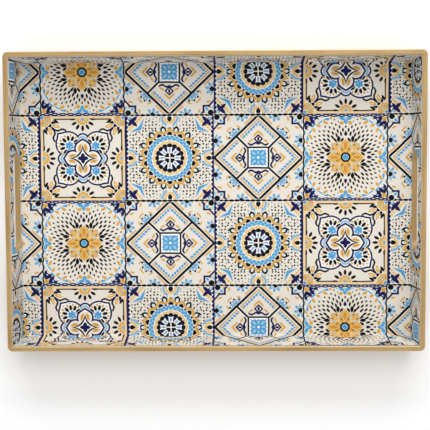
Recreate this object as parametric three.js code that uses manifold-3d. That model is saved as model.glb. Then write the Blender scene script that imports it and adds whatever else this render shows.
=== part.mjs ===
// A serving tray glued up from thin boards: a flat base, two long walls, two end walls with a hand
// slot each, a printed sheet folded into the inside, the brads that pin the boards together and four
// rubber pads. Millimetres, +Z up, X along the tray's length, origin under the centre of the tray.

import * as THREE from 'three';
import { mergeVertices } from 'three/addons/utils/BufferGeometryUtils.js';
import Module from 'manifold-3d';

const wasm = await Module();
wasm.setup();

// Driving dimensions
const rimLength = 400;
const rimWidth = 286;
const trayHeight = 40;
const footHeight = 1.5;
const baseThickness = 3;
const wallThickness = 5;
const wallLean = 4;            // how far a wall leans outward between the base and the rim
const cornerRadius = 5;        // outside corners, sanded round about the inside corner
const softEdge = 0.8;          // rounding along the rim and the lower edge of the base
const glueLine = 0.1;          // gap that the glue fills between two boards
const sheetThickness = 0.3;

const slotLength = 95;
const slotHeight = 20;
const slotBelowRim = 11;       // board left above the slot, measured along the wall
const sheetSetback = 0.4;      // the printed sheet stops this far from the slot and the rim

const footRadius = 9;
const footInset = 26;          // from the base's edges to a pad's centre

const bradLength = 15;
const bradRadius = 0.6;
const bradHeadRadius = 1.1;
const bradHeadHeight = 0.7;
const bradSink = 0.2;          // how deep a head lies under the face it was driven through
const bradClearance = 0.3;

const cornerSteps = 8;
const edgeSteps = 3;
const slotEndSteps = 10;
const footSides = 32;
const bradSides = 8;

// Levels and slopes that follow from them
const baseBottom = footHeight;
const baseTop = baseBottom + baseThickness;
const wallRise = trayHeight - baseTop;
const slope = wallLean / wallRise;
const leanAngle = Math.atan(slope);

// Cutting blocks reach past the boards
const spare = 1;
const lowEnd = baseTop - spare;
const highEnd = trayHeight + spare;
const farAway = 2 * rimLength;

// Half the size of the walls' outside and inside at height z
function outsideHalf(z) {
  const lean = slope * (trayHeight - z);
  return { x: rimLength / 2 - lean, y: rimWidth / 2 - lean };
}

function insideHalf(z) {
  const outside = outsideHalf(z);
  return { x: outside.x - wallThickness, y: outside.y - wallThickness };
}

// Materials, one for each finish
const finish = (color, roughness, metalness) => (
  () => new THREE.MeshStandardMaterial({ color, roughness, metalness })
);
const boardPaint = finish(0xbd9963, 0.45, 0.3);
const tilePrint = finish(0xd9d2c4, 0.5, 0);
const bradSteel = finish(0x9a9a98, 0.35, 1);
const padRubber = finish(0x2a2724, 0.9, 0);

// Closed mesh to manifold solid and back
function toSolid(geometry) {
  const clean = geometry.index ? geometry.toNonIndexed() : geometry.clone();
  clean.deleteAttribute('normal');
  clean.deleteAttribute('uv');
  const merged = mergeVertices(clean, 1e-4);
  return new wasm.Manifold(new wasm.Mesh({
    numProp: 3,
    vertProperties: new Float32Array(merged.attributes.position.array),
    triVerts: new Uint32Array(merged.index.array),
  }));
}

function toGeometry(solid) {
  const { vertProperties, triVerts, numProp } = solid.getMesh();
  const positions = new Float32Array((vertProperties.length / numProp) * 3);
  for (let i = 0; i < positions.length / 3; i += 1) {
    for (let axis = 0; axis < 3; axis += 1) {
      positions[3 * i + axis] = vertProperties[numProp * i + axis];
    }
  }
  const geometry = new THREE.BufferGeometry();
  geometry.setAttribute('position', new THREE.BufferAttribute(positions, 3));
  geometry.setIndex(new THREE.BufferAttribute(new Uint32Array(triVerts), 1));
  const faceted = geometry.toNonIndexed();
  faceted.computeVertexNormals();
  return faceted;
}

// A rectangle with rounded corners, counter-clockwise, as points [x, y]; no steps make sharp corners
function roundedRectangle(halfX, halfY, radius = 0, steps = 0) {
  const points = [];
  const corners = [[1, 1], [-1, 1], [-1, -1], [1, -1]];
  corners.forEach(([signX, signY], corner) => {
    const centreX = signX * (halfX - radius);
    const centreY = signY * (halfY - radius);
    for (let step = 0; step <= steps; step += 1) {
      const angle = (corner + step / Math.max(steps, 1)) * Math.PI / 2;
      points.push([centreX + radius * Math.cos(angle), centreY + radius * Math.sin(angle)]);
    }
  });
  return points;
}

// A closed solid through outlines at rising heights; every outline has the same number of points
function loft(outlines) {
  const count = outlines[0].points.length;
  const positions = [];
  outlines.forEach(({ z, points }) => points.forEach(([x, y]) => positions.push(x, y, z)));
  const index = [];
  for (let level = 0; level < outlines.length - 1; level += 1) {
    for (let i = 0; i < count; i += 1) {
      const next = (i + 1) % count;
      const low = level * count;
      const high = low + count;
      index.push(low + i, low + next, high + next, low + i, high + next, high + i);
    }
  }
  const top = (outlines.length - 1) * count;
  for (let i = 1; i < count - 1; i += 1) {
    index.push(0, i + 1, i);
    index.push(top, top + i, top + i + 1);
  }
  const geometry = new THREE.BufferGeometry();
  geometry.setAttribute('position', new THREE.Float32BufferAttribute(positions, 3));
  geometry.setIndex(index);
  return toSolid(geometry);
}

// A block between x0..x1, y0..y1 at a low height and another such rectangle at a high one
function taperedBlock(low, high) {
  const outline = ({ z, x, y }) => ({ z, points: [[x[0], y[0]], [x[1], y[0]], [x[1], y[1]], [x[0], y[1]]] });
  return loft([outline(low), outline(high)]);
}

// Steps round a softened edge, from the end face to the side face: how far each lies in from the
// side and back from the end
function softSteps(radius) {
  const steps = [];
  for (let step = 0; step <= edgeSteps; step += 1) {
    const angle = (step / edgeSteps) * Math.PI / 2;
    steps.push({ inset: radius * (1 - Math.sin(angle)), back: radius * (1 - Math.cos(angle)) });
  }
  return radius > 0 ? steps : steps.slice(0, 1);
}

// The outside of the glued-up tray between two heights, with its lower and upper edge softened
function outsideBody(low, high, lowSoft, highSoft) {
  const lower = softSteps(lowSoft).map(({ inset, back }) => ({ z: low + back, inset }));
  const upper = softSteps(highSoft).map(({ inset, back }) => ({ z: high - back, inset })).reverse();
  return loft([...lower, ...upper].map(({ z, inset }) => {
    const half = outsideHalf(z);
    return { z, points: roundedRectangle(half.x - inset, half.y - inset, cornerRadius - inset, cornerSteps) };
  }));
}

// The hollow of the tray above the base, sharp in the corners and widening at the rim's inner edge
function insideHollow() {
  const rim = softSteps(softEdge).map(({ inset, back }) => ({ z: trayHeight - back, grow: inset })).reverse();
  const heights = [{ z: lowEnd, grow: 0 }, ...rim, { z: highEnd, grow: softEdge }];
  return loft(heights.map(({ z, grow }) => {
    const half = insideHalf(z);
    return { z, points: roundedRectangle(half.x + grow, half.y + grow) };
  }));
}

// The hand slot's cutter for the wall on one side (-1 left, +1 right), square to the wall's face
const slotMiddleDown = slotBelowRim + slotHeight / 2;
const slotPlace = {
  x: insideHalf(trayHeight).x - slotMiddleDown * Math.sin(leanAngle),
  z: trayHeight - slotMiddleDown * Math.cos(leanAngle),
};

function slotCutter(side, grow) {
  const radius = slotHeight / 2 + grow;
  const straight = slotLength / 2 - slotHeight / 2;
  const shape = new THREE.Shape();
  shape.absarc(straight, 0, radius, -Math.PI / 2, Math.PI / 2, false);
  shape.absarc(-straight, 0, radius, Math.PI / 2, 3 * Math.PI / 2, false);
  shape.closePath();
  const depth = 6 * wallThickness;
  const sweep = { depth, bevelEnabled: false, curveSegments: slotEndSteps };
  const geometry = new THREE.ExtrudeGeometry(shape, sweep);
  geometry.translate(0, 0, -depth / 2);
  const along = new THREE.Vector3(0, 1, 0);
  const up = new THREE.Vector3(side * Math.sin(leanAngle), 0, Math.cos(leanAngle));
  const outward = new THREE.Vector3().crossVectors(along, up);
  const place = new THREE.Matrix4().makeBasis(along, up, outward);
  place.setPosition(side * slotPlace.x, 0, slotPlace.z);
  geometry.applyMatrix4(place);
  return toSolid(geometry);
}

// Brads: each stands along +Z with its head's top at the origin and its point below
function bradProfile(clearance) {
  const shank = bradRadius + clearance;
  const head = bradHeadRadius + clearance;
  const top = clearance > 0 ? 2 * wallThickness : 0;
  const shoulder = -bradHeadHeight - clearance;
  const taper = -(bradLength - 2 * bradRadius) - clearance;
  const point = -bradLength - 2 * clearance;
  return [[0, point], [shank, taper], [shank, shoulder], [head, shoulder], [head, top], [0, top]]
    .map(([r, z]) => new THREE.Vector2(r, z));
}

function bradShape(clearance) {
  const geometry = new THREE.LatheGeometry(bradProfile(clearance), bradSides);
  geometry.rotateX(Math.PI / 2);
  return geometry;
}

// Where the brads go: a name, the head's place and the way from the point to the head
function bradPlaces() {
  const places = [];
  const heights = { low: baseTop + 0.22 * wallRise, high: baseTop + 0.8 * wallRise };
  const sides = { front: -1, back: 1 };
  const ends = { left: -1, right: 1 };
  for (const [sideName, sideY] of Object.entries(sides)) {
    for (const [endName, endX] of Object.entries(ends)) {
      for (const [heightName, z] of Object.entries(heights)) {
        const middle = outsideHalf(z).x - wallThickness / 2;
        const drop = cornerRadius - Math.sqrt(cornerRadius ** 2 - (wallThickness / 2) ** 2);
        const head = new THREE.Vector3(endX * middle, sideY * (outsideHalf(z).y - drop - bradSink), z);
        const way = new THREE.Vector3(0, sideY, 0);
        places.push({ name: `brad_${sideName}_${endName}_${heightName}`, head, way });
      }
    }
  }
  const under = insideHalf(baseTop);
  const row = { x: under.x + wallThickness / 2, y: under.y + wallThickness / 2 };
  const headZ = baseBottom + bradSink;
  const sunk = slope * (baseTop - headZ);
  for (const [sideName, sideY] of Object.entries(sides)) {
    [-0.8, -0.27, 0.27, 0.8].forEach((share, i) => {
      const head = new THREE.Vector3(share * under.x, sideY * (row.y - sunk), headZ);
      const way = new THREE.Vector3(0, -sideY * Math.sin(leanAngle), -Math.cos(leanAngle));
      places.push({ name: `brad_under_${sideName}_${i + 1}`, head, way });
    });
  }
  for (const [endName, endX] of Object.entries(ends)) {
    [-0.5, 0.5].forEach((share, i) => {
      const head = new THREE.Vector3(endX * (row.x - sunk), share * under.y, headZ);
      const way = new THREE.Vector3(-endX * Math.sin(leanAngle), 0, -Math.cos(leanAngle));
      places.push({ name: `brad_under_${endName}_${i + 1}`, head, way });
    });
  }
  return places;
}

function bradMatrix({ head, way }) {
  const turn = new THREE.Quaternion().setFromUnitVectors(new THREE.Vector3(0, 0, 1), way);
  return new THREE.Matrix4().compose(head, turn, new THREE.Vector3(1, 1, 1));
}

const brads = bradPlaces();
const bradHoles = brads.map((brad) => toSolid(bradShape(bradClearance).applyMatrix4(bradMatrix(brad))));

function drill(solid) {
  return bradHoles.reduce((left, hole) => left.subtract(hole), solid);
}

// The boards
const wallRing = outsideBody(baseTop, trayHeight, 0, softEdge).subtract(insideHollow());

// A long wall runs the tray's full length; side is -1 for the front and +1 for the back
function longWall(side) {
  const strip = (z) => {
    const near = side * insideHalf(z).y;
    return { z, x: [-farAway, farAway], y: side > 0 ? [near, farAway] : [-farAway, near] };
  };
  return drill(wallRing.intersect(taperedBlock(strip(lowEnd), strip(highEnd))));
}

// An end wall stands between the long walls; side is -1 for the left and +1 for the right
function endWall(side) {
  const strip = (z) => {
    const reach = insideHalf(z).y - glueLine;
    return { z, x: side > 0 ? [0, farAway] : [-farAway, 0], y: [-reach, reach] };
  };
  const board = wallRing.intersect(taperedBlock(strip(lowEnd), strip(highEnd)));
  return drill(board.subtract(slotCutter(side, 0)));
}

function baseBoard() {
  return drill(outsideBody(baseBottom, baseTop, softEdge, 0));
}

// The printed sheet: a floor and four flaps folded up against the walls
function printedLiner() {
  const shell = (gap, bottom, top) => loft([bottom, top].map((z) => {
    const half = insideHalf(z);
    return { z, points: roundedRectangle(half.x - gap, half.y - gap) };
  }));
  const top = trayHeight - softEdge - sheetSetback;
  const outer = shell(glueLine, baseTop, top);
  const inner = shell(glueLine + sheetThickness, baseTop + sheetThickness, top + spare);
  return outer.subtract(inner)
    .subtract(slotCutter(-1, sheetSetback))
    .subtract(slotCutter(1, sheetSetback));
}

function footPad() {
  const bevel = footHeight / 4;
  const edge = [[footRadius - bevel, 0], [footRadius, bevel], [footRadius, footHeight]];
  const profile = [[0, 0], ...edge, [0, footHeight]].map(([r, z]) => new THREE.Vector2(r, z));
  const geometry = new THREE.LatheGeometry(profile, footSides);
  return geometry.rotateX(Math.PI / 2);
}

// Assembly
const tray = new THREE.Group();

function place(name, geometry, material, matrix = new THREE.Matrix4()) {
  const mesh = new THREE.Mesh(geometry, material);
  mesh.name = name;
  mesh.applyMatrix4(matrix);
  tray.add(mesh);
}

place('base_board', toGeometry(baseBoard()), boardPaint());
place('wall_front', toGeometry(longWall(-1)), boardPaint());
place('wall_back', toGeometry(longWall(1)), boardPaint());
place('wall_left', toGeometry(endWall(-1)), boardPaint());
place('wall_right', toGeometry(endWall(1)), boardPaint());
place('printed_liner', toGeometry(printedLiner()), tilePrint());
brads.forEach((brad) => place(brad.name, bradShape(0), bradSteel(), bradMatrix(brad)));

const footX = outsideHalf(baseBottom).x - footInset;
const footY = outsideHalf(baseBottom).y - footInset;
for (const [sideName, sideY] of [['front', -1], ['back', 1]]) {
  for (const [endName, endX] of [['left', -1], ['right', 1]]) {
    const spot = new THREE.Matrix4().makeTranslation(endX * footX, sideY * footY, 0);
    place(`foot_${sideName}_${endName}`, footPad(), padRubber(), spot);
  }
}

export default tray;
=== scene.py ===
"""A serving tray of painted boards, lined with an ornamental tile print, on a plain pale floor.

Metres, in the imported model's frame: X along the tray, Y across it, +Z up, origin under its centre.
"""

import math

import bmesh
import bpy
from mathutils import Matrix, Vector


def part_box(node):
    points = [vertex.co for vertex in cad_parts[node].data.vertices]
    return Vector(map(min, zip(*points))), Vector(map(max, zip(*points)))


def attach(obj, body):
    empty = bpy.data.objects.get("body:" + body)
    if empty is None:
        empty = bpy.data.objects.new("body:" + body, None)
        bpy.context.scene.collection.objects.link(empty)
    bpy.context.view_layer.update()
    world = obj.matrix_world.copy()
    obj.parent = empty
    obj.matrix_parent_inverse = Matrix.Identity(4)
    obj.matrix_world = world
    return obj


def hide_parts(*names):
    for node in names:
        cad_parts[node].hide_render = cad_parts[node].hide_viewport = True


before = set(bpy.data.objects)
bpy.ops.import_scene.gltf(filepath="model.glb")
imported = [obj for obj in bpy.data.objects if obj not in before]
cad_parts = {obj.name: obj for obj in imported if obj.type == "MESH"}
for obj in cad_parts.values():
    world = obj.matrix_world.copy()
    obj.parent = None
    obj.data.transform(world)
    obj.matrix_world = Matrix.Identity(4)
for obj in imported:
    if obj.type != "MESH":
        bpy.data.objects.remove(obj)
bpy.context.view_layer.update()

MM = 0.001

# ---- Sizes: the boards' levels come from the frame, the rest are the tray's own proportions ----

BASE_LOW, BASE_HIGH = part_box("base_board")
RIM_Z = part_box("wall_back")[1][2]
BASE_Z = BASE_HIGH[2]
WALL_THICKNESS = 5 * MM
WALL_LEAN = 4 * MM
SOFT_EDGE = 1.1 * MM
JOINT_GAP = 0.08 * MM
JOINT_EDGE = 0.25 * MM               # rounding along the joint of the walls and the base
CORNER_RADIUS = 5 * MM

SLOPE = WALL_LEAN / (RIM_Z - BASE_Z)
LEAN_ANGLE = math.atan(SLOPE)
SLOT_LENGTH = 95 * MM
SLOT_HEIGHT = 20 * MM
SLOT_BELOW_RIM = 11 * MM
SLOT_LIP = 0.5 * MM

SHEET_GAP = 0.1 * MM
SHEET_THICKNESS = 0.25 * MM
SHEET_SETBACK = 0.15 * MM
FOLD_RADIUS = 1.2 * MM
FOLD_STEPS = 5
SHEET_SLOT_MARGIN = 0.6 * MM

BRAD_POCKET_RADIUS = 1.3 * MM        # what a brad's head leaves open round it
BRAD_POCKET_DEPTH = 0.8 * MM
PAD_EDGE = 0.45 * MM
PAD_HOLLOW = 0.25 * MM               # how deep the pad's standing face is hollowed
POCKET_STEPS = 20                    # points round a brad's pocket
SLOT_END_STEPS = 20                  # steps round each end of a hand slot
PAD_STEPS = 64
CUTTER_LENGTH = 8 * WALL_THICKNESS
WELD = 1e-7                          # points closer than this are one point
SHARP_ANGLE = math.radians(38)       # faces that meet at more than this keep a hard edge

TILE_UNIT = 43.1 * MM
WIDE_TILE = 86.6 * MM
NARROW_TILE = 83.7 * MM
TILE_DEPTH = 83.7 * MM


def outside_half(z):
    """Half the length and half the width of the walls' outside at height z."""
    lean = SLOPE * (z - BASE_Z)
    return BASE_HIGH[0] + lean, BASE_HIGH[1] + lean


def inside_half(z):
    x, y = outside_half(z)
    return x - WALL_THICKNESS, y - WALL_THICKNESS


# ---- Mesh helpers ----


def make_object(name, bm, material, closed=True):
    """A mesh object with smooth faces, sharp where two faces meet at a real edge."""
    bmesh.ops.remove_doubles(bm, verts=bm.verts, dist=WELD)
    if closed:
        bmesh.ops.recalc_face_normals(bm, faces=bm.faces)
    mesh = bpy.data.meshes.new(name)
    bm.to_mesh(mesh)
    bm.free()
    mesh.shade_smooth()
    mesh.set_sharp_from_angle(angle=SHARP_ANGLE)
    mesh.materials.append(material)
    obj = bpy.data.objects.new(name, mesh)
    bpy.context.scene.collection.objects.link(obj)
    return obj


def even_normals(obj):
    """Shades the large flat faces flat, next to their small rounded edges."""
    modifier = obj.modifiers.new("flat faces", "WEIGHTED_NORMAL")
    modifier.mode = "FACE_AREA"
    modifier.weight = 100
    modifier.keep_sharp = True


def cut_away(obj, cutters):
    """Cuts the closed meshes in cutters out of obj, which takes their material, and removes them."""
    for cutter in cutters:
        modifier = obj.modifiers.new("cut", "BOOLEAN")
        modifier.operation = "DIFFERENCE"
        modifier.solver = "EXACT"
        modifier.material_mode = "TRANSFER"
        modifier.object = cutter
    graph = bpy.context.evaluated_depsgraph_get()
    mesh = bpy.data.meshes.new_from_object(obj.evaluated_get(graph))
    obj.modifiers.clear()
    obj.data = mesh
    for cutter in cutters:
        bpy.data.objects.remove(cutter)


def skin(bm, outlines):
    """A closed skin over outlines in turn, which have the same number of points."""
    rings = [[bm.verts.new(point) for point in outline] for outline in outlines]
    for near, far in zip(rings, rings[1:]):
        for i in range(len(near)):
            j = (i + 1) % len(near)
            bm.faces.new((near[i], near[j], far[j], far[i]))
    bm.faces.new(rings[0][::-1])
    bm.faces.new(rings[-1])


def prism(name, points, way, length, material):
    """A closed prism: the outline points in space, carried along way by length, centred on them."""
    bm = bmesh.new()
    half = way.normalized() * length / 2
    skin(bm, [[p - half for p in points], [p + half for p in points]])
    return make_object(name, bm, material)


# ---- Shader nodes ----


def srgb(r, g, b):
    """A colour given as sRGB 0 to 255, as the linear values that a shader takes."""
    def linear(c):
        c = c / 255
        return c / 12.92 if c <= 0.04045 else ((c + 0.055) / 1.055) ** 2.4
    return linear(r), linear(g), linear(b), 1.0


class Varying:
    """What a shader node gives, such as a colour, which varies from place to place."""

    def __init__(self, tree, socket):
        self.tree = tree
        self.socket = socket


def feed(node, inputs):
    """Gives a node's inputs, by name or number, plain values or ones that vary."""
    for slot, value in inputs.items():
        if isinstance(value, Varying):
            value.tree.links.new(value.socket, node.inputs[slot])
        else:
            node.inputs[slot].default_value = value


def between(low, high, share):
    """A colour from low to high, as share goes from 0 to 1."""
    node = share.tree.nodes.new("ShaderNodeMix")
    node.data_type = "RGBA"
    feed(node, {0: share, 6: low, 7: high})
    return Varying(share.tree, node.outputs[2])


class Field(Varying):
    """A number at each point of a surface, written as arithmetic."""

    def math(self, operation, *others, clamp=False):
        node = self.tree.nodes.new("ShaderNodeMath")
        node.operation = operation
        node.use_clamp = clamp
        feed(node, dict(enumerate((self, *others))))
        return Field(self.tree, node.outputs[0])

    def __add__(self, other):
        return self.math("ADD", other)

    def __sub__(self, other):
        return self.math("SUBTRACT", other)

    def __rsub__(self, other):
        return self.math("MULTIPLY_ADD", -1.0, other)

    def __mul__(self, other):
        return self.math("MULTIPLY", other)

    def __neg__(self):
        return self.math("MULTIPLY", -1.0)

    def __abs__(self):
        return self.math("ABSOLUTE")

    def low(self, other):
        return self.math("MINIMUM", other)

    def high(self, other):
        return self.math("MAXIMUM", other)

    def cos(self):
        return self.math("COSINE")

    def sin(self):
        return self.math("SINE")

    def fold(self, step):
        """Runs from 0 up to step and back down, over and over."""
        return self.math("PINGPONG", step)


class Point(Varying):
    """A place on the drawing or on the object, or a direction."""

    parts = None

    @classmethod
    def of(cls, x, y):
        """The place on the drawing with these coordinates."""
        node = x.tree.nodes.new("ShaderNodeCombineXYZ")
        feed(node, {0: x, 1: y})
        point = cls(x.tree, node.outputs[0])
        point.parts = (x, y)
        return point

    def xyz(self):
        if self.parts is None:
            node = self.tree.nodes.new("ShaderNodeSeparateXYZ")
            feed(node, {0: self})
            self.parts = tuple(Field(self.tree, socket) for socket in node.outputs)
        return self.parts

    def xy(self):
        return self.xyz()[:2]

    def z(self):
        return self.xyz()[2]

    def vector(self, operation, *others):
        """The vector or, for a length, the number that an operation gives."""
        node = self.tree.nodes.new("ShaderNodeVectorMath")
        node.operation = operation
        feed(node, dict(enumerate((self, *others))))
        if operation == "LENGTH":
            return Field(self.tree, node.outputs["Value"])
        return Point(self.tree, node.outputs["Vector"])

    def length(self):
        return self.vector("LENGTH")

    def minus(self, x, y):
        return self.vector("SUBTRACT", (x, y, 0.0))

    def mirrored(self):
        """The same drawing in all four quarters."""
        return self.vector("ABSOLUTE")

    def eighth(self):
        """The same drawing in all eight eighths: x is the larger coordinate, y the smaller."""
        x, y = self.mirrored().xy()
        return Point.of(x.high(y), x.low(y))

    def within(self, x, y, length, width, turn=0.0):
        """Coordinates in which an ellipse of these half sizes, turned by degrees, is a unit circle."""
        if turn:
            node = self.tree.nodes.new("ShaderNodeMapping")
            node.vector_type = "TEXTURE"
            rotation = (0.0, 0.0, math.radians(turn))
            feed(node, {"Vector": self, "Location": (x, y, 0.0), "Rotation": rotation})
            feed(node, {"Scale": (length, width, 1.0)})
            return Point(self.tree, node.outputs["Vector"])
        scale = (1 / length, 1 / width, 0.0)
        return self.vector("MULTIPLY_ADD", scale, (-x / length, -y / width, 0.0))


class Round:
    """Polar coordinates about a point of the drawing; angle 0 is along y."""

    def __init__(self, point):
        x, y = point.xy()
        self.radius = point.length()
        self.angle = x.math("ARCTAN2", y)

    def petals(self, count, turn=0.0):
        """A point in the slice of one petal, whose axis is x; turn is a share of a petal's slice."""
        angle = self.angle + turn * 2 * math.pi / count if turn else self.angle
        angle = angle.fold(math.pi / count)
        return Point.of(self.radius * angle.cos(), self.radius * angle.sin())


# Every shape below is a distance: below 0 inside it and above 0 outside. Taking a number off it
# makes the shape larger by that much all round.


def oval(point, x, y, length, width, turn=0.0):
    size = min(length, width)
    return point.within(x, y, length, width, turn).length().math("MULTIPLY_ADD", size, -size)


def leaf(point, x, y, length, width, turn=0.0):
    """A pointed leaf."""
    along, across = point.within(x, y, length, width, turn).xy()
    return along.math("MULTIPLY_ADD", along, abs(across)).math("MULTIPLY_ADD", width, -width)


def drop(point, x, y, length, width, turn=0.0):
    """A drop with its point towards negative length."""
    along, across = point.within(x, y, length, width, turn).xy()
    belly = along.math("MULTIPLY_ADD", 0.5, 0.75, clamp=True)
    return Point.of(along, across.math("DIVIDE", belly)).length().math("MULTIPLY_ADD", width, -width)


def bar(point, x, y, length, width, turn=0.0):
    along, across = point.within(x, y, length, width, turn).mirrored().xy()
    return along.high(across).math("MULTIPLY_ADD", width, -width)


def star(point, length, pinch):
    """A star with four hollow sides round the drawing's middle."""
    along, across = point.within(0.0, 0.0, length, length).mirrored().xy()
    reach = along.math("POWER", pinch) + across.math("POWER", pinch)
    return reach.math("POWER", 1 / pinch).math("MULTIPLY_ADD", 0.4 * length, -0.4 * length)


def line(distance, width):
    """The outline of a shape."""
    return abs(distance) - width / 2


# ---- Materials ----


class Surface:
    """Colour, roughness and height of a material that vary from place to place on the object."""

    def __init__(self, material):
        self.material = material
        self.tree = material.node_tree
        self.shader = self.tree.nodes["Principled BSDF"]
        place = self.tree.nodes.new("ShaderNodeTexCoord")
        self.place = Point(self.tree, place.outputs["Object"])
        self.facing = Point(self.tree, place.outputs["Normal"])

    def set(self, name, value):
        feed(self.shader, {name: value})

    def noise(self, size, detail, stretch=(1.0, 1.0, 1.0)):
        """Soft spots about as large as size; below 1, stretch draws them out along an axis."""
        node = self.tree.nodes.new("ShaderNodeTexNoise")
        place = self.place.vector("MULTIPLY", stretch)
        feed(node, {"Vector": place, "Scale": 1 / size, "Detail": detail})
        return Field(self.tree, node.outputs[0])

    def specks(self, size, share):
        """Scattered flakes about as large as size, covering about this share of the surface."""
        node = self.tree.nodes.new("ShaderNodeTexVoronoi")
        feed(node, {"Vector": self.place, "Scale": 1 / size})
        chance = Point(self.tree, node.outputs["Color"]).xy()[0]
        return chance.math("LESS_THAN", share)

    def colour(self, colour):
        self.set("Base Color", colour)

    def roughness(self, field):
        self.set("Roughness", field)

    def bump(self, height, depth):
        node = self.tree.nodes.new("ShaderNodeBump")
        feed(node, {"Distance": depth, "Height": height})
        self.set("Normal", Varying(self.tree, node.outputs["Normal"]))


def new_material(name):
    material = bpy.data.materials.new(name)
    material.use_nodes = True
    return material


def gold_material(name, stretch):
    """Satin gold paint, brushed along the board, with a painted highlight along the rim's rounded edges.
    """
    surface = Surface(new_material(name))
    patches = surface.noise(45 * MM, 3.0)
    strokes = surface.noise(1.4 * MM, 3.0, stretch)
    peel = surface.noise(0.7 * MM, 2.0)
    tone = patches.math("MULTIPLY_ADD", 2.0, -0.5) * 0.5
    tone = tone + strokes.math("MULTIPLY_ADD", 2.6, -0.8) * 0.5
    paint = between(srgb(156, 123, 70), srgb(200, 168, 115), tone)
    paint = between(paint, srgb(228, 204, 160), surface.specks(0.30 * MM, 0.07) * 0.16)
    paint = between(paint, srgb(120, 92, 54), surface.specks(0.5 * MM, 0.03) * 0.16)
    # Painted highlight: the rim's rounded edges are painted lighter where they face sideways, streaked
    # with the brush strokes
    facing_up = surface.facing.z()
    tilt = 1.0 - facing_up * facing_up
    at_rim = surface.place.z().math("GREATER_THAN", RIM_Z - SOFT_EDGE)
    painted_highlight = (tilt * at_rim) * (strokes * 0.5 + 0.45)
    paint = between(paint, srgb(236, 216, 182), painted_highlight.math("MULTIPLY", 1.0, clamp=True))
    surface.colour(paint)
    surface.roughness(strokes * 0.22 + patches * 0.10 + 0.26)
    surface.bump(strokes * 0.5 + peel, 0.04 * MM)
    surface.set("Metallic", 0.35)
    return surface.material


def steel_material():
    surface = Surface(new_material("brad_steel"))
    marks = surface.noise(0.4 * MM, 3.0)
    spots = surface.noise(1.1 * MM, 2.0)
    surface.colour(between(srgb(112, 110, 106), srgb(186, 185, 182), marks * 0.6 + spots * 0.4))
    surface.roughness(marks * 0.35 + 0.20)
    surface.bump(marks, 0.02 * MM)
    surface.set("Metallic", 1.0)
    return surface.material


def rubber_material():
    surface = Surface(new_material("pad_rubber"))
    grain = surface.noise(0.35 * MM, 3.0)
    dust = surface.noise(4 * MM, 4.0)
    surface.colour(between(srgb(30, 28, 27), srgb(74, 70, 66), dust * 0.7 + grain * 0.3))
    surface.roughness(dust * 0.20 + 0.70)
    surface.bump(grain, 0.06 * MM)
    return surface.material


def paper_material():
    surface = Surface(new_material("sheet_back"))
    fibres = surface.noise(0.6 * MM, 4.0, (0.3, 1.0, 1.0))
    clouds = surface.noise(6 * MM, 3.0)
    surface.colour(between(srgb(206, 196, 176), srgb(240, 234, 220), fibres * 0.6 + clouds * 0.4))
    surface.roughness(fibres * 0.2 + 0.70)
    surface.bump(fibres, 0.02 * MM)
    return surface.material


gold_lengthwise = gold_material("gold_paint_lengthwise", (0.03, 1.0, 1.0))
gold_crosswise = gold_material("gold_paint_crosswise", (1.0, 0.03, 1.0))
paper = paper_material()


# ---- Print ----

CREAM = srgb(225, 218, 206)
WHITE = srgb(246, 243, 238)
NAVY = srgb(21, 21, 76)
BLACK = srgb(8, 8, 10)
SKY = srgb(76, 155, 205)
PALE_BLUE = srgb(158, 196, 218)
OCHRE = srgb(210, 161, 70)
PEACH = srgb(232, 204, 154)
BROWN = srgb(124, 84, 48)
GREY_BROWN = srgb(92, 84, 78)
GREY_BLUE = srgb(164, 174, 184)
MILK = srgb(236, 232, 224)
ORANGE = srgb(204, 144, 50)
LIGHT_PEACH = srgb(240, 222, 186)
DEEP_PEACH = srgb(210, 170, 118)
LIGHT_OCHRE = srgb(218, 174, 98)
DEEP_OCHRE = srgb(204, 158, 88)


class Drawing:
    """A tile's print, drawn in layers. x and y are from the tile's middle, and its edges are near 1."""

    SOFT = 0.008
    SPREAD = 0.009                   # how far a dark ink runs past its outline
    WOBBLE = 0.008                   # how far the drawing strays

    def __init__(self, name):
        self.material = new_material(name)
        self.tree = self.material.node_tree
        uv = self.tree.nodes.new("ShaderNodeUVMap")
        uv.uv_map = "tile"
        self.point = self.hand_drawn(Point(self.tree, uv.outputs["UV"]))
        self.colour = CREAM

    def hand_drawn(self, point):
        """Moves the drawing a little here and there, as a brush does."""
        noise = self.tree.nodes.new("ShaderNodeTexNoise")
        noise.noise_dimensions = "2D"
        feed(noise, {"Vector": point, "Scale": 2.5, "Detail": 1.0})
        far = (2 * self.WOBBLE, 2 * self.WOBBLE, 0)
        back = (-self.WOBBLE, -self.WOBBLE, 0)
        shift = Point(self.tree, noise.outputs["Color"]).vector("MULTIPLY_ADD", far, back)
        return point.vector("ADD", shift)

    def fill(self, distance, colour):
        spread = self.SPREAD if colour in (BLACK, NAVY) else 0.0
        mask = distance.math("MULTIPLY_ADD", -1 / self.SOFT, 0.5 + spread / self.SOFT, clamp=True)
        self.colour = between(self.colour, colour, mask)

    def ring(self, around, count, turn, reach, length, width, colour):
        self.fill(petal_ring(around, count, turn, reach, length, width), colour)

    def nested(self, distance, *layers):
        """One shape in several layers, each as (how much larger it is, its colour)."""
        for by, colour in layers:
            self.fill(distance - by, colour)


def petal_ring(around, count, turn, reach, length, width):
    """Ovals all the way round, pointing outwards."""
    return oval(around.petals(count, turn), reach, 0.0, length, width)


def dashed_border(art, x, y):
    """Half of the row of dark beads that two tiles share."""
    art.fill(0.940 - abs(y), WHITE)
    beads = Point.of(x.fold(0.061), abs(y))
    art.fill(oval(beads, 0.0, 0.975, 0.050, 0.022), BLACK)


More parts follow.
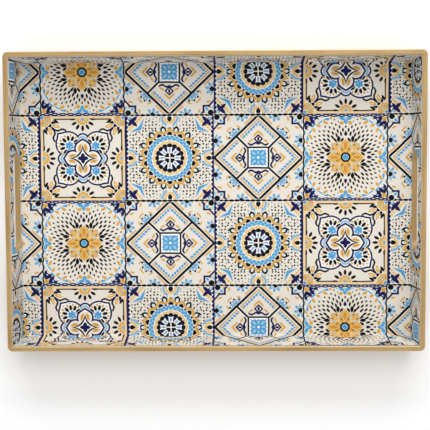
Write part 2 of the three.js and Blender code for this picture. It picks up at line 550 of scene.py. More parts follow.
def draw_sunburst(art):
    """A gold rosette in rings of dark drops, with scrolls in the corners."""
    x, y = art.point.xy()
    eighth = art.point.eighth()
    quarter = art.point.mirrored()
    reach, side = eighth.xy()
    around = Round(art.point)
    radius = around.radius

    # Drops that shrink outwards, on alternate rays
    for distance, length, width, turn in (
        (0.540, 0.034, 0.015, 0.0),
        (0.620, 0.027, 0.013, 0.5),
        (0.697, 0.021, 0.011, 0.0),
        (0.765, 0.016, 0.009, 0.5),
        (0.830, 0.012, 0.008, 0.0),
        (0.890, 0.009, 0.007, 0.5),
    ):
        art.ring(around, 32, turn, distance, length, width, BLACK)
    art.ring(around, 4, 0.0, 0.525, 0.032, 0.028, NAVY)

    # Eight fans of three dark drops
    art.fill(leaf(eighth, 0.412, 0.157, 0.068, 0.032), BLACK)
    art.fill(drop(eighth, 0.378, 0.090, 0.052, 0.022, -38), BLACK)
    art.fill(drop(eighth, 0.370, 0.220, 0.052, 0.022, 40), BLACK)

    # Rosette
    corners = leaf(around.petals(4, 0.5), 0.240, 0.0, 0.215, 0.135)
    points = leaf(around.petals(4), 0.205, 0.0, 0.205, 0.150)
    art.fill(corners, LIGHT_OCHRE)
    art.fill(line(corners + 0.020, 0.012), OCHRE)
    art.fill(points, OCHRE)
    art.fill(line(points, 0.014), PEACH)
    art.fill(line(leaf(around.petals(8, 0.5), 0.190, 0.0, 0.140, 0.060), 0.012), PEACH)
    rhombus = leaf(around.petals(4), 0.260, 0.0, 0.120, 0.050)
    art.fill(rhombus, ORANGE)
    art.fill(line(rhombus, 0.010), PEACH)
    art.fill(oval(eighth, 0.235, 0.130, 0.038, 0.022, 32), PALE_BLUE)
    art.fill(oval(eighth, 0.180, 0.072, 0.026, 0.014, 22), BROWN)
    art.fill(oval(eighth, 0.284, 0.196, 0.026, 0.015, 34), BROWN)
    art.fill(oval(around.petals(4, 0.5), 0.395, 0.0, 0.024, 0.022), GREY_BLUE)
    art.fill(radius - 0.104, BLACK)
    art.fill(radius - 0.070, PALE_BLUE)
    art.fill(radius - 0.055, SKY)

    # Clear ground for the corners
    art.fill((1.345 - reach - side) * 0.7, CREAM)

    # Scrolls and gold commas
    curl = reach - 0.800 - ((side - 0.43) * (math.pi / 0.27)).cos() * 0.062
    scroll = line(curl, 0.058).high(abs(side - 0.560) - 0.175)
    hook = oval(eighth, 0.862, 0.400, 0.034, 0.034)
    art.nested(scroll, (0.014, WHITE), (0, PALE_BLUE))
    art.fill(line(curl, 0.030).high(abs(side - 0.560) - 0.175), SKY)
    art.fill(hook.low(oval(eighth, 0.755, 0.705, 0.044, 0.034, 45)), SKY)
    art.fill(oval(eighth, 0.915, 0.560, 0.020, 0.060), PALE_BLUE)
    commas = oval(eighth, 0.785, 0.452, 0.060, 0.031, 62).low(oval(eighth, 0.808, 0.486, 0.030, 0.028))
    commas = commas.low(oval(eighth, 0.718, 0.612, 0.052, 0.032, 62))
    commas = commas.low(oval(eighth, 0.885, 0.340, 0.033, 0.032))
    art.nested(commas, (0.014, CREAM), (0, OCHRE))

    # Fans at the middles of the edges
    art.fill(Round(eighth.minus(0.89, 0.0)).radius - 0.180, CREAM)
    art.fill(leaf(eighth, 0.830, 0.0, 0.095, 0.046), SKY)
    art.fill(leaf(eighth, 0.885, 0.085, 0.080, 0.042, 52), SKY)
    art.fill(leaf(eighth, 0.905, 0.178, 0.062, 0.030, 75), PALE_BLUE)
    art.fill(leaf(eighth, 0.870, 0.0, 0.050, 0.020), PALE_BLUE)
    art.fill(oval(eighth, 0.774, 0.095, 0.040, 0.052, 18), OCHRE)

    # Corners
    art.fill(oval(quarter, 0.885, 0.865, 0.066, 0.058, 45), OCHRE)
    art.fill(oval(quarter, 0.872, 0.852, 0.030, 0.016, 45), ORANGE)
    moon = leaf(eighth, 0.852, 0.714, 0.118, 0.092, 68).high(-oval(eighth, 0.808, 0.650, 0.062, 0.062))
    art.nested(moon, (0.012, WHITE), (0, NAVY))
    art.fill(oval(eighth, 0.860, 0.722, 0.020, 0.018), PALE_BLUE)

    # Borders
    sway = (y * (math.pi / 0.092)).cos() * 0.007
    art.fill(0.925 - abs(x), WHITE)
    art.fill(line(abs(x) - 0.948 + sway, 0.021), BLACK)
    wave = (x * (math.pi / 0.180)).sin() * 0.020
    gap = abs(y) - 0.944
    art.fill(0.914 - abs(y), WHITE)
    art.fill(line(gap - wave, 0.011).low(line(gap + wave, 0.011)), NAVY)


def draw_quatrefoil(art):
    """A navy medallion round a four-lobed flower, in a gold frame."""
    quarter = art.point.mirrored()
    eighth = art.point.eighth()
    reach, side = eighth.xy()

    # Medallion
    lobes = oval(quarter, 0.327, 0.327, 0.272, 0.272)
    corner = (reach + side * 0.14 - 0.634).high(0.327 - side)
    lobes = lobes.low(corner).low(oval(eighth, 0.432, 0.0, 0.118, 0.118)).low(reach - 0.3)
    art.nested(lobes, (0.036, WHITE), (0.017, NAVY), (-0.015, WHITE), (-0.030, MILK))

    # Blue flowers with rings of drops
    flower = Round(quarter.minus(0.295, 0.285))
    art.ring(flower, 11, -0.375, 0.278, 0.018, 0.016, GREY_BLUE)
    art.ring(flower, 11, 0.125, 0.238, 0.034, 0.022, OCHRE)
    art.ring(flower, 11, -0.375, 0.172, 0.046, 0.025, BLACK)
    bloom = (flower.radius - 0.066).low(petal_ring(flower, 6, 0.0, 0.068, 0.034, 0.034))
    art.nested(bloom, (0.014, WHITE), (0, SKY))
    art.fill(oval(quarter, 0.270, 0.262, 0.018, 0.018), PALE_BLUE)

    # Pale arcs under the small lobes
    arc = line(oval(eighth, 0.404, 0.0, 0.092, 0.092), 0.042).high(0.40 - reach)
    art.fill(arc, PALE_BLUE)
    art.fill(line(oval(eighth, 0.394, 0.0, 0.084, 0.084), 0.016).high(0.41 - reach), SKY)

    # Four-lobed flower
    ogee = oval(eighth, 0.226, 0.0, 0.172, 0.172)
    tip = ((reach - 0.428) * 0.86 + side * 0.52).high(0.35 - reach)
    ogee = ogee.low(tip).low(reach - 0.152)
    art.nested(ogee, (0.034, WHITE), (0.018, NAVY), (-0.016, WHITE), (-0.032, CREAM))
    art.fill(oval(eighth, 0.244, 0.064, 0.084, 0.034, -14), OCHRE)
    art.fill(oval(eighth, 0.246, 0.062, 0.044, 0.011, -14), ORANGE)
    burst = star(art.point, 0.270, 0.58)
    art.nested(burst, (0.036, WHITE), (0.020, BLACK), (-0.010, WHITE))
    art.fill(leaf(eighth, 0.058, 0.0, 0.062, 0.038), NAVY)

    # Strokes round the medallion's corners
    stroke = reach - 0.646 + ((side - 0.570) * (math.pi / 0.11)).cos() * 0.018
    art.fill(line(stroke, 0.026).high(abs(side - 0.510) - 0.130), BLACK)
    art.fill(oval(quarter, 0.668, 0.668, 0.044, 0.024, 45), NAVY)
    art.fill(leaf(quarter, 0.752, 0.752, 0.056, 0.034, 45), BLACK)
    art.nested(leaf(eighth, 0.735, 0.606, 0.100, 0.046, 72), (0.012, WHITE), (0, OCHRE))
    art.fill(leaf(eighth, 0.735, 0.600, 0.055, 0.020, 72), PEACH)
    hook = leaf(eighth, 0.816, 0.694, 0.078, 0.022, 84).low(leaf(eighth, 0.842, 0.606, 0.066, 0.021, 58))
    art.fill(hook, BLACK)

    # Corner flowers
    art.nested(oval(eighth, 0.868, 0.798, 0.092, 0.082), (0.014, WHITE), (0, OCHRE))
    art.fill(line(oval(eighth, 0.868, 0.798, 0.056, 0.048), 0.012), PEACH)
    art.fill(oval(eighth, 0.868, 0.798, 0.030, 0.026), GREY_BLUE)

    # Flowers at the middles of the edges
    half = Round(eighth.minus(0.900, 0.0))
    art.ring(half, 12, 0.0, 0.218, 0.046, 0.023, BLACK)
    art.fill((half.radius - 0.110).low(petal_ring(half, 12, 0.5, 0.112, 0.038, 0.028)), OCHRE)
    art.fill(line(half.radius - 0.078, 0.018), PEACH)
    art.nested(half.radius, (0.050, PALE_BLUE), (0.030, SKY))

    # Frame
    thin = line(reach - 0.888, 0.009).high(abs(side - 0.420) - 0.215)
    art.fill(thin.low(oval(eighth, 0.885, 0.235, 0.012, 0.034)), BLACK)
    art.fill(0.903 - reach, DEEP_PEACH)
    art.fill(0.910 - reach, PEACH)
    art.fill(oval(eighth, 0.868, 0.798, 0.092, 0.082).high(0.900 - reach), OCHRE)
    art.fill(oval(quarter, 0.918, 0.918, 0.036, 0.036), SKY)
    art.fill(0.952 - reach, WHITE)
    art.fill(0.964 - reach, NAVY)


def draw_mandala(art):
    """Rings of scallops and petals in a field of dots."""
    x, y = art.point.xy()
    quarter = art.point.mirrored()
    eighth = art.point.eighth()
    reach, side = eighth.xy()
    around = Round(art.point)
    radius = around.radius

    # Dots, two thirds of them darker
    dots = art.tree.nodes.new("ShaderNodeTexVoronoi")
    dots.voronoi_dimensions = "2D"
    feed(dots, {"Vector": quarter, "Scale": 13.6, "Randomness": 0.45})
    dot = Field(art.tree, dots.outputs["Distance"]) * 0.0735
    chance = Point(art.tree, dots.outputs["Color"]).xy()[0]
    art.fill(dot - 0.014, GREY_BROWN)
    art.fill(dot - 0.012 + chance.math("LESS_THAN", 0.33) * 0.05, BLACK)
    art.fill(radius - 0.630, CREAM)

    # Zigzag with hollow drops outside it and arrowheads inside it
    valley = around.petals(14, 0.5)
    art.fill(oval(valley, 0.695, 0.068, 0.026, 0.020), PALE_BLUE)
    art.fill(leaf(valley, 0.652, 0.0, 0.088, 0.060), BLACK)
    art.fill(leaf(valley, 0.640, 0.0, 0.050, 0.032), WHITE)
    art.ring(around, 14, 0.5, 0.638, 0.018, 0.010, SKY)
    slope = around.angle.fold(math.pi / 14) * (14 / math.pi)
    zigzag = (radius - 0.648 + slope * 0.092) * 0.74
    art.fill(zigzag, CREAM)
    art.fill(line(zigzag, 0.044), OCHRE)
    arrow = leaf(around.petals(14), 0.538, 0.0, 0.062, 0.052)
    art.fill(arrow.high(0.526 - around.petals(14).xy()[0]), BLACK)
    art.ring(around, 14, 0.5, 0.518, 0.021, 0.018, NAVY)

    # Blue scalloped band
    wave = (around.angle * 28).cos() * 0.009
    band = line(radius - 0.455 + wave, 0.100)
    art.nested(band, (0.008, WHITE), (0, SKY))
    art.ring(around, 28, 0.0, 0.478, 0.021, 0.018, PALE_BLUE)
    art.ring(around, 28, 0.5, 0.440, 0.021, 0.018, PALE_BLUE)

    # Dotted band
    art.fill(radius - 0.404 - (around.angle * 16).cos() * 0.008, WHITE)
    art.fill(radius - 0.392 - (around.angle * 16).cos() * 0.010, PEACH)
    art.ring(around, 32, 0.5, 0.350, 0.015, 0.013, DEEP_OCHRE)
    art.ring(around, 16, 0.0, 0.384, 0.014, 0.013, DEEP_OCHRE)
    art.ring(around, 16, 0.0, 0.322, 0.022, 0.046, LIGHT_PEACH)

    # Dark scallops round the petals
    art.ring(around, 16, 0.0, 0.276, 0.056, 0.062, WHITE)
    art.fill(radius - 0.290, WHITE)
    art.ring(around, 16, 0.0, 0.280, 0.045, 0.049, BLACK)
    art.fill(radius - 0.262, WHITE)
    art.ring(around, 16, 0.0, 0.262, 0.014, 0.030, BLACK)
    art.fill(drop(around.petals(8, 0.5), 0.205, 0.0, 0.064, 0.034), NAVY)
    art.ring(around, 8, 0.0, 0.178, 0.048, 0.024, SKY)
    art.ring(around, 8, 0.0, 0.178, 0.028, 0.010, PALE_BLUE)
    art.fill(radius - 0.112 - (around.angle * 12).cos() * 0.010, BLACK)
    cross = abs(x).low(abs(y)) - 0.012
    art.fill(cross.high(radius - 0.122), WHITE)

    # Half medallions at the middles of the edges
    medal = Round(eighth.minus(0.915, 0.0))
    art.fill(medal.radius - 0.205, CREAM)
    art.fill(line(medal.radius - 0.178, 0.048).high(0.070 - side), SKY)
    art.fill(line(medal.radius - 0.186, 0.020).high(0.100 - side), PALE_BLUE)
    art.fill(medal.radius - 0.142, PEACH)
    art.ring(medal, 16, 0.0, 0.130, 0.012, 0.014, DEEP_OCHRE)
    art.ring(medal, 14, 0.5, 0.098, 0.013, 0.012, DEEP_OCHRE)
    art.fill(medal.radius - 0.076, WHITE)
    art.fill(leaf(eighth, 0.895, 0.0, 0.072, 0.044), BLACK)

    # Corners
    art.fill((1.430 - reach - side) * 0.7, CREAM)
    spread = reach - side
    bird = abs(reach + side - 1.345 - spread * 0.42) * 0.7 - 0.042 + spread * 0.120
    bird = bird.high((spread - 0.300) * 0.7)
    art.nested(bird, (0.022, CREAM), (0, SKY))
    art.fill(line(reach + side - 1.570, 0.092).high(spread - 0.340) * 0.7, PEACH)
    segments = Point.of(spread.fold(0.045), reach + side)
    art.fill(oval(segments, 0.0, 1.560, 0.018, 0.034).high(spread - 0.330), OCHRE)
    cross = Round(quarter.minus(0.850, 0.832))
    art.fill(leaf(cross.petals(4, 0.5), 0.062, 0.0, 0.092, 0.032).low(cross.radius - 0.034), NAVY)
    art.fill(leaf(quarter, 0.918, 0.905, 0.055, 0.026, 45), PALE_BLUE)

    # Borders
    beads = Point.of(abs(x), y.fold(0.050))
    art.fill(0.940 - abs(x), WHITE)
    art.fill(oval(beads, 0.985, 0.0, 0.034, 0.038), NAVY)
    art.fill(0.986 - abs(x), NAVY)
    dashed_border(art, x, y)


def draw_diamond(art):
    """A black diamond in four cells round a blue square."""
    x, y = art.point.xy()
    quarter = art.point.mirrored()
    eighth = art.point.eighth()
    reach, side = eighth.xy()
    wide = Point.of(abs(x) * 0.985, abs(y) * 1.023)
    across = (wide.xy()[0] + wide.xy()[1]) * 0.7071
    along = abs(wide.xy()[0] - wide.xy()[1]) * 0.7071
    edge = 0.984 * 0.7071

    # Fans on the diamond's sides
    fan = Round(quarter.minus(0.490, 0.490))
    bracket = line(fan.radius - 0.232, 0.034).high(along - 0.075)
    art.fill(bracket.high(edge + 0.1 - across), OCHRE)
    art.fill(oval(eighth, 0.700, 0.446, 0.060, 0.018, 62), OCHRE)
    art.ring(fan, 9, -0.625, 0.166, 0.016, 0.016, BLACK)
    art.ring(fan, 10, -0.25, 0.100, 0.062, 0.025, SKY)
    art.ring(fan, 10, -0.25, 0.112, 0.034, 0.010, PALE_BLUE)

    # Gold lines beside its points
    beside = line(across - edge - 0.074, 0.026).high(0.330 - along)
    art.fill(beside.low(line(across - edge - 0.046, 0.010).high(0.330 - along)), DEEP_OCHRE)

    # Knobs on the tile's edges, with blue petals
    knob = Round(eighth.minus(0.985, 0.385))
    art.fill(knob.radius - 0.175, CREAM)
    art.ring(knob, 8, 0.25, 0.118, 0.056, 0.031, SKY)
    art.ring(knob, 8, 0.25, 0.104, 0.024, 0.012, PALE_BLUE)
    art.fill(knob.radius - 0.056, CREAM)

    # Corner ornaments
    art.fill((1.47 - reach - side) * 0.7, CREAM)
    art.fill(bar(eighth, 0.945, 0.715, 0.060, 0.011, -48), NAVY)
    bracket = bar(eighth, 0.835, 0.770, 0.056, 0.013)
    art.fill(bracket.low(oval(quarter, 0.778, 0.778, 0.022, 0.022)), NAVY)
    art.fill(oval(eighth, 0.880, 0.675, 0.054, 0.022, -18), OCHRE)
    art.fill(oval(eighth, 0.925, 0.808, 0.018, 0.014), DEEP_OCHRE)
    art.fill(oval(eighth, 0.985, 0.810, 0.030, 0.040), PALE_BLUE)
    art.nested(leaf(quarter, 0.848, 0.840, 0.060, 0.040, 45), (0.008, WHITE), (0, PALE_BLUE))
    art.fill(leaf(quarter, 0.842, 0.834, 0.045, 0.022, 45), SKY)

    # Diamond
    art.fill(across - edge - 0.032, WHITE)
    art.fill(across - edge + 0.020, WHITE)
    art.fill(across - edge + 0.036, CREAM)

    # Cells: gold V, blue dashes, eye and strokes
    returns = line(along - 0.068, 0.022).high(0.535 - across)
    inner_line = line(across - edge + 0.068, 0.026).low(returns)
    art.fill(inner_line.high(across - edge + 0.054).high(0.056 - along), DEEP_OCHRE)
    dashes = Point.of(along.math("MODULO", 0.078), across)
    art.fill(oval(dashes, 0.040, edge - 0.124, 0.037, 0.027, 30).high(0.085 - along), SKY)
    art.fill(line((reach + side - 0.598) * 0.7, 0.042).high(side - 0.108), OCHRE)
    eye = (abs(reach - 0.425) + side).high(oval(eighth, 0.425, 0.0, 0.076, 0.076) + 0.082)
    art.fill((eye - 0.118) * 0.8, WHITE)
    art.fill((eye - 0.100) * 0.8, NAVY)
    art.fill((eye - 0.060) * 0.8, WHITE)
    art.fill(oval(eighth, 0.425, 0.0, 0.031, 0.018), BLACK)
    curve = reach - 0.312 - ((side - 0.055) * (math.pi / 0.105)).cos() * 0.022
    art.fill(line(curve, 0.028).high(side - 0.225), NAVY)
    art.fill(oval(eighth, 0.384, 0.165, 0.058, 0.022, -60), OCHRE)

    # Spokes, diamond lines and square
    spokes = (along - 0.014).high(across - edge)
    lines = line(across - edge, 0.038).low(spokes)
    art.fill(spokes - 0.020, WHITE)
    art.fill(lines, BLACK)
    art.fill(reach - 0.262, WHITE)
    art.fill((reach - 0.244).low(spokes), BLACK)
    art.fill(reach - 0.212, WHITE)
    art.fill(reach - 0.176 - (side * (math.pi / 0.045)).cos() * 0.010, SKY)
    art.fill(leaf(eighth, 0.112, 0.0, 0.048, 0.026), PALE_BLUE)
    art.fill(leaf(quarter, 0.096, 0.096, 0.062, 0.028, 45), PALE_BLUE)
    art.fill(oval(art.point, 0.0, 0.0, 0.030, 0.030), WHITE)

    # Borders, with the knobs and the corners' dots over them
    dashed_border(art, x, y)
    art.fill(leaf(eighth, 0.968, 0.385, 0.056, 0.050), BLACK)
    art.nested(oval(quarter, 0.935, 0.918, 0.058, 0.056), (0.018, WHITE), (0, BLACK))


def finish_print(art):
    """The drawing under a satin varnish, on paper that isn't quite even."""
    surface = Surface(art.material)
    shade = surface.noise(14 * MM, 3.0)
    grain = surface.noise(0.5 * MM, 2.0)
    aged = art.tree.nodes.new("ShaderNodeVectorMath")
    aged.operation = "SCALE"
    feed(aged, {0: art.colour, "Scale": shade * 0.05 + grain * 0.05 + 0.95})
    surface.colour(Varying(art.tree, aged.outputs[0]))
    surface.roughness(shade * 0.16 + grain * 0.10 + 0.46)
    surface.bump(grain + shade, 0.02 * MM)
    surface.set("Specular IOR Level", 0.12)
    return art.material


def print_material(name, draw):
    art = Drawing(name)
    draw(art)
    return finish_print(art)


TILES = {
    "A": print_material("tile_sunburst", draw_sunburst),
    "B": print_material("tile_quatrefoil", draw_quatrefoil),
    "C": print_material("tile_mandala", draw_mandala),
    "D": print_material("tile_diamond", draw_diamond),
}

# ---- Boards ----

CORNER_STEPS = 12
EDGE_STEPS = 5


def wall_profile():
    """The wall's section as (distance outward from its inner face, height), with a softened rim."""
    quarter = [math.pi / 2 * i / EDGE_STEPS for i in range(EDGE_STEPS + 1)]
    inner = [(SOFT_EDGE * (1 - math.cos(a)), RIM_Z - SOFT_EDGE * (1 - math.sin(a))) for a in quarter]
    outer = [(WALL_THICKNESS - d, z) for d, z in reversed(inner)]
    foot = [(WALL_THICKNESS, BASE_Z + JOINT_EDGE), (WALL_THICKNESS - JOINT_EDGE, BASE_Z)]
    return [(0.0, BASE_Z), *inner, *outer, *foot]


def sweep(stations, profile):
    """A closed board: the profile carried from station to station. A station gives the inner
    face's corner signs, the way outward, and how far along Y the section is drawn back."""
    bm = bmesh.new()
    outlines = []
    for (sign_x, sign_y), angle, draw_back in stations:
        outline = []
        for outward, z in profile:
            half_x, half_y = inside_half(z)
            x = sign_x * half_x + outward * math.cos(angle)
            y = sign_y * (half_y - draw_back) + outward * math.sin(angle)
            outline.append((x, y, z))
        outlines.append(outline)
    skin(bm, outlines)
    return bm


def round_corner(corner, start, end):
    """Stations round one outside corner."""
    steps = range(CORNER_STEPS + 1)
    return [(corner, start + (end - start) * i / CORNER_STEPS, 0.0) for i in steps]


def brad_pockets(start, way, material):
    """Cutters that open the board over the heads of the brads whose names begin with start. The
    heads face way, so each pocket goes from outside the board to just under its head's top."""
    bm = bmesh.new()
    across = Vector((1, 0, 0))
    up = way.cross(across)
    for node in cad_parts:
        if not node.startswith(start):
            continue
        low, high = (Vector(corner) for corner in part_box(node))
        head = (low + high) / 2
        for axis in range(3):
            if way[axis]:
                head[axis] = high[axis] if way[axis] > 0 else low[axis]
        angles = [2 * math.pi * i / POCKET_STEPS for i in range(POCKET_STEPS)]
        spokes = [across * math.cos(angle) + up * math.sin(angle) for angle in angles]
        rim = [head + spoke * BRAD_POCKET_RADIUS for spoke in spokes]
        skin(bm, [[p + way * reach for p in rim] for reach in (-BRAD_POCKET_DEPTH, WALL_THICKNESS)])
    return make_object("brad pockets", bm, material)


def finish_board(board, node):
    even_normals(board)
    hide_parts(node)
    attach(board, "root")


def long_wall(name, side, node):
    """A full-length wall with both outside corners; side is +1 at the back and -1 in front."""
    quarter = side * math.pi / 2
    stations = round_corner((1, side), 0.0, quarter)
    stations += round_corner((-1, side), quarter, 2 * quarter)
    wall = make_object(name, sweep(stations, wall_profile()), gold_lengthwise)
    pockets = brad_pockets(node.replace("wall", "brad"), Vector((0, side, 0)), gold_lengthwise)
    cut_away(wall, [pockets])
    finish_board(wall, node)


def slot_outline(side, grow):
    """The hand slot's outline on the inner face of an end wall, as points in space."""
    radius = SLOT_HEIGHT / 2 + grow
    straight = (SLOT_LENGTH - SLOT_HEIGHT) / 2
    down = SLOT_BELOW_RIM + SLOT_HEIGHT / 2
    up = Vector((side * math.sin(LEAN_ANGLE), 0, math.cos(LEAN_ANGLE)))
    middle = Vector((side * inside_half(RIM_Z)[0], 0, RIM_Z)) - up * down
    points = []
    for end, first in ((1, -math.pi / 2), (-1, math.pi / 2)):
        for i in range(SLOT_END_STEPS + 1):
            angle = first + math.pi * i / SLOT_END_STEPS
            along = end * straight + radius * math.cos(angle)
            points.append(middle + Vector((0, along, 0)) + up * (radius * math.sin(angle)))
    return points


def wall_outward(side):
    return Vector((side * math.cos(LEAN_ANGLE), 0, -math.sin(LEAN_ANGLE)))


def slot_cutter(side, grow, material):
    outline = slot_outline(side, grow)
    return prism("slot cutter", outline, wall_outward(side), CUTTER_LENGTH, material)


LIP_SEARCH = 1 * MM                  # how far past the slot its edges are looked for
LIP_TOP = RIM_Z - 0.8 * SLOT_BELOW_RIM
LIP_ANGLE = math.radians(60)


def round_slot_lips(obj):
    """Rounds the two lips where the slot comes out of the board's faces."""
    mesh = obj.data
    bm = bmesh.new()
    bm.from_mesh(mesh)
    lips = []
    for edge in bm.edges:
        if len(edge.link_faces) != 2:
            continue
        reach = max(abs(v.co.y) for v in edge.verts)
        high = max(v.co.z for v in edge.verts)
        low = min(v.co.z for v in edge.verts)
        at_slot = reach < SLOT_LENGTH / 2 + LIP_SEARCH and low > BASE_Z + LIP_SEARCH
        if at_slot and high < LIP_TOP and edge.calc_face_angle(0.0) > LIP_ANGLE:
            lips.append(edge)
    bmesh.ops.bevel(
        bm, geom=lips, offset=SLOT_LIP, offset_type="OFFSET", segments=4, profile=0.5,
        affect="EDGES", clamp_overlap=False,
    )
    bmesh.ops.recalc_face_normals(bm, faces=bm.faces)
    bm.to_mesh(mesh)
    bm.free()
    mesh.shade_smooth()
    mesh.set_sharp_from_angle(angle=SHARP_ANGLE)


def end_wall(name, side, node):
    """A wall between the long ones, with its hand slot; side is +1 on the right, -1 on the left."""
    outward = 0.0 if side > 0 else math.pi
    stations = [((side, -1), outward, JOINT_GAP), ((side, 1), outward, JOINT_GAP)]
    wall = make_object(name, sweep(stations, wall_profile()), gold_crosswise)
    cut_away(wall, [slot_cutter(side, 0.0, gold_crosswise)])
    round_slot_lips(wall)
    finish_board(wall, node)


def rounded_rectangle(half_x, half_y, radius):
    points = []
    for corner, (sign_x, sign_y) in enumerate(((1, 1), (-1, 1), (-1, -1), (1, -1))):
        for i in range(CORNER_STEPS + 1):
            angle = (corner + i / CORNER_STEPS) * math.pi / 2
            x = sign_x * (half_x - radius) + radius * math.cos(angle)
            y = sign_y * (half_y - radius) + radius * math.sin(angle)
            points.append((x, y))
    return points


def base_board():
    """The board under the floor, which carries on the walls' lean down to a softened lower edge."""
    low = BASE_LOW[2]
    levels = []
    for soft, way, end in ((SOFT_EDGE, 1, low), (JOINT_EDGE, -1, BASE_Z)):
        rounding = []
        for i in range(EDGE_STEPS + 1):
            angle = math.pi / 2 * i / EDGE_STEPS
            rounding.append((end + way * soft * (1 - math.cos(angle)), soft * (1 - math.sin(angle))))
        levels += rounding[::way]
    outlines = []
    for z, inset in levels:
        half_x, half_y = outside_half(z)
        corners = rounded_rectangle(half_x - inset, half_y - inset, CORNER_RADIUS - inset)
        outlines.append([(x, y, z) for x, y in corners])
    bm = bmesh.new()
    skin(bm, outlines)
    board = make_object("bottom_board", bm, gold_lengthwise)
    cut_away(board, [brad_pockets("brad_under", Vector((0, 0, -1)), gold_lengthwise)])
    finish_board(board, "base_board")


long_wall("back_wall_board", 1, "wall_back")
long_wall("front_wall_board", -1, "wall_front")
end_wall("left_wall_board", -1, "wall_left")
end_wall("right_wall_board", 1, "wall_right")
base_board()

# ---- Printed liner ----

TILE_ROWS = ("DADCBC", "CBCDAD")     # the tiles of a row from left to right, in turn from the back
TILE_WIDTHS = (WIDE_TILE, NARROW_TILE, WIDE_TILE, WIDE_TILE, NARROW_TILE, WIDE_TILE)
MIDDLE_CORNER = (-1.4 * MM, -0.15 * MM)


def tile_edges():
    """Where the tiles' edges are along X and along Y, when the sheet is laid flat."""
    x = [MIDDLE_CORNER[0] - sum(TILE_WIDTHS[:3])]
    for width in TILE_WIDTHS:
        x.append(x[-1] + width)
    y = [MIDDLE_CORNER[1] + i * TILE_DEPTH for i in (-2, -1, 0, 1, 2)]
    return x, y


TILE_EDGES = tile_edges()


def sheet_profile():
    """The sheet's face from the floor up a wall: (outward, height, outward when laid flat)."""
    lift = SHEET_GAP + SHEET_THICKNESS
    corner = SLOPE * lift - lift / math.cos(LEAN_ANGLE)
    turn_angle = math.pi / 2 - LEAN_ANGLE
    run = FOLD_RADIUS * math.tan(turn_angle / 2)
    low = BASE_Z + lift
    points = []
    for i in range(FOLD_STEPS + 1):
        angle = turn_angle * i / FOLD_STEPS
        outward = corner - run + FOLD_RADIUS * math.sin(angle)
        height = low + FOLD_RADIUS * (1 - math.cos(angle))
        points.append((outward, height, corner - run + FOLD_RADIUS * angle))
    outward, height, flat = points[-1]
    top = RIM_Z - SOFT_EDGE - SHEET_SETBACK
    climb = (top - height) / math.cos(LEAN_ANGLE)
    points.append((outward + climb * math.sin(LEAN_ANGLE), top, flat + climb))
    return points


def add_flat_face(bm, layer, corners):
    """A face whose corners are ((x, y, z), (x, y) when laid flat)."""
    face = bm.faces.new([bm.verts.new(place) for place, _ in corners])
    for loop, (_, flat) in zip(face.loops, corners):
        loop[layer].uv = flat


def sheet_faces(bm, layer):
    half_x, half_y = inside_half(BASE_Z)
    profile = sheet_profile()
    start, low, _ = profile[0]
    x, y = half_x + start, half_y + start
    floor = ((-x, -y), (x, -y), (x, y), (-x, y))
    add_flat_face(bm, layer, [((*p, low), p) for p in floor])
    for (near, z_near, flat_near), (far, z_far, flat_far) in zip(profile, profile[1:]):
        for side in (1, -1):
            rows = ((near, z_near, flat_near), (far, z_far, flat_far))
            ends = []
            long = []
            for outward, z, flat in rows:
                wide, deep = half_x + outward, half_y + outward
                ends.append([((side * wide, s * deep, z), (side * (half_x + flat), s * deep))
                             for s in (-side, side)])
                long.append([((s * wide, side * deep, z), (s * wide, side * (half_y + flat)))
                             for s in (side, -side)])
            for first, second in (ends, long):
                add_flat_face(bm, layer, [first[0], second[0], second[1], first[1]])


def cut_at_tiles(bm):
    for axis, edges in enumerate(TILE_EDGES):
        for edge in edges[1:-1]:
            place = Vector((0, 0, 0))
            place[axis] = edge
            normal = Vector((0, 0, 0))
            normal[axis] = 1
            geometry = bm.verts[:] + bm.edges[:] + bm.faces[:]
            bmesh.ops.bisect_plane(bm, geom=geometry, plane_co=place, plane_no=normal)


def set_tiles(bm, layer, letters):
    """Gives each face its tile's material, and its corners their place from the tile's middle."""
    edges_x, edges_y = TILE_EDGES
    for face in bm.faces:
        flats = [loop[layer].uv.copy() for loop in face.loops]
        middle = sum(flats, Vector((0, 0))) / len(flats)
        column = sum(edge < middle.x for edge in edges_x) - 1
        row = sum(edge < middle.y for edge in edges_y) - 1
        letter = TILE_ROWS[(3 - row) % 2][column]
        face.material_index = letters.index(letter)
        centre = Vector((edges_x[column] + edges_x[column + 1], edges_y[row] + edges_y[row + 1])) / 2
        for loop, flat in zip(face.loops, flats):
            loop[layer].uv = (flat - centre) / TILE_UNIT


def printed_liner():
    bm = bmesh.new()
    layer = bm.loops.layers.uv.new("tile")
    sheet_faces(bm, layer)
    bmesh.ops.remove_doubles(bm, verts=bm.verts, dist=WELD)
    cut_at_tiles(bm)
    letters = list(TILES)
    set_tiles(bm, layer, letters)
    sheet = make_object("printed_sheet", bm, TILES[letters[0]], closed=False)
    for letter in letters[1:]:
        sheet.data.materials.append(TILES[letter])
    sheet.data.materials.append(paper)
    solid = sheet.modifiers.new("thickness", "SOLIDIFY")
    solid.thickness = SHEET_THICKNESS
    solid.offset = -1.0
    solid.use_even_offset = True
    solid.material_offset = len(letters)
    solid.material_offset_rim = len(letters)
    cut_away(sheet, [slot_cutter(side, SHEET_SLOT_MARGIN, paper) for side in (-1, 1)])
    sheet.data.set_sharp_from_angle(angle=SHARP_ANGLE)
    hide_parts("printed_liner")
    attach(sheet, "root")


printed_liner()

# ---- Rubber pads ----


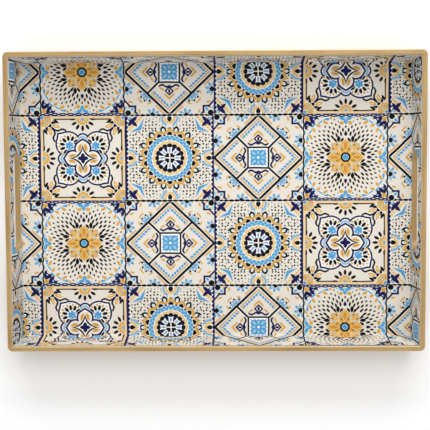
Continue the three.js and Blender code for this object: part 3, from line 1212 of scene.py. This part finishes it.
def pad(name, node, material):
    """A round pad with a softened edge and a shallow hollow in the face that it stands on."""
    low, high = (Vector(corner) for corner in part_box(node))
    middle = (low + high) / 2
    radius = (high.x - low.x) / 2
    profile = [(0.0, PAD_HOLLOW), (0.55 * radius, PAD_HOLLOW)]
    profile += [(0.62 * radius, 0.48 * PAD_HOLLOW), (0.68 * radius, 0.0)]
    for i in range(EDGE_STEPS + 1):
        angle = math.pi / 2 * i / EDGE_STEPS
        profile.append((radius - PAD_EDGE * (1 - math.sin(angle)), PAD_EDGE * (1 - math.cos(angle))))
    profile += [(radius, high.z), (0.0, high.z)]
    bm = bmesh.new()
    rings = []
    for r, z in profile:
        count = PAD_STEPS if r else 1
        ring = []
        for i in range(count):
            angle = 2 * math.pi * i / count
            x, y = middle.x + r * math.cos(angle), middle.y + r * math.sin(angle)
            ring.append(bm.verts.new((x, y, z)))
        rings.append(ring)
    for near, far in zip(rings, rings[1:]):
        for i in range(PAD_STEPS):
            j = (i + 1) % PAD_STEPS
            corners = [near[i % len(near)], near[j % len(near)], far[j % len(far)], far[i % len(far)]]
            bm.faces.new(list(dict.fromkeys(corners)))
    piece = make_object(name, bm, material)
    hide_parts(node)
    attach(piece, "root")


rubber = rubber_material()
for depth in ("front", "back"):
    for end in ("left", "right"):
        pad(f"pad_{depth}_{end}", f"foot_{depth}_{end}", rubber)

# ---- Carried-over nodes ----

steel = steel_material()
for node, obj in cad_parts.items():
    if node.startswith("brad"):
        obj.data.materials.clear()
        obj.data.materials.append(steel)

# ---- Floor, light and camera ----

FLOOR_HALF = 6.0


def add_floor():
    bm = bmesh.new()
    corners = [(x * FLOOR_HALF, y * FLOOR_HALF) for x, y in ((-1, -1), (1, -1), (1, 1), (-1, 1))]
    bm.faces.new([bm.verts.new((x, y, 0.0)) for x, y in corners])
    white = new_material("floor_white")
    shader = white.node_tree.nodes["Principled BSDF"]
    shader.inputs["Base Color"].default_value = (0.96, 0.96, 0.96, 1.0)
    shader.inputs["Roughness"].default_value = 0.8
    make_object("floor", bm, white)


def area_light(name, place, aim, size, power):
    data = bpy.data.lights.new(name, "AREA")
    data.shape = "RECTANGLE"
    data.size, data.size_y = size
    data.energy = power
    light = bpy.data.objects.new(name, data)
    light.location = place
    light.rotation_euler = (Vector(aim) - Vector(place)).to_track_quat("-Z", "Y").to_euler()
    bpy.context.scene.collection.objects.link(light)


def add_world(strength):
    world = bpy.data.worlds.new("studio")
    world.use_nodes = True
    background = world.node_tree.nodes["Background"]
    background.inputs["Color"].default_value = (1.0, 1.0, 1.0, 1.0)
    background.inputs["Strength"].default_value = strength
    bpy.context.scene.world = world


CAMERA_DISTANCE = 983 * MM
CAMERA_TILT = math.radians(4.0)      # towards the front of the tray
CAMERA_SIDE_TILT = math.radians(1.0)
CAMERA_ROLL = math.radians(-0.2)
FRAME_MIDDLE = (0.0, -11.9 * MM)     # what lies in the middle of the frame, from the rim's middle
LENS = 86.9


def add_camera():
    data = bpy.data.cameras.new("camera")
    data.lens = LENS
    data.sensor_width = 36.0
    data.clip_end = 50.0
    camera = bpy.data.objects.new("camera", data)
    turn_x = Matrix.Rotation(-CAMERA_TILT, 3, "X")
    turn_y = Matrix.Rotation(CAMERA_SIDE_TILT, 3, "Y")
    turn_z = Matrix.Rotation(CAMERA_ROLL, 3, "Z")
    rotation = turn_x @ turn_y @ turn_z
    middle = Vector((0, 0, RIM_Z))
    camera.location = middle + rotation @ Vector((*FRAME_MIDDLE, CAMERA_DISTANCE))
    camera.rotation_euler = rotation.to_euler()
    bpy.context.scene.collection.objects.link(camera)
    bpy.context.scene.camera = camera


add_floor()
add_world(0.60)
area_light("key", (0.25, 1.0, 2.0), (0, 0, 0), (1.5, 1.2), 14)
area_light("low light", (0.1, 1.9, 1.15), (0, 0, 0), (2.0, 0.6), 26)
area_light("fill", (-0.2, -1.8, 1.0), (0, 0, 0), (2.0, 1.0), 8)
add_camera()
bpy.context.scene.view_settings.view_transform = "Standard"
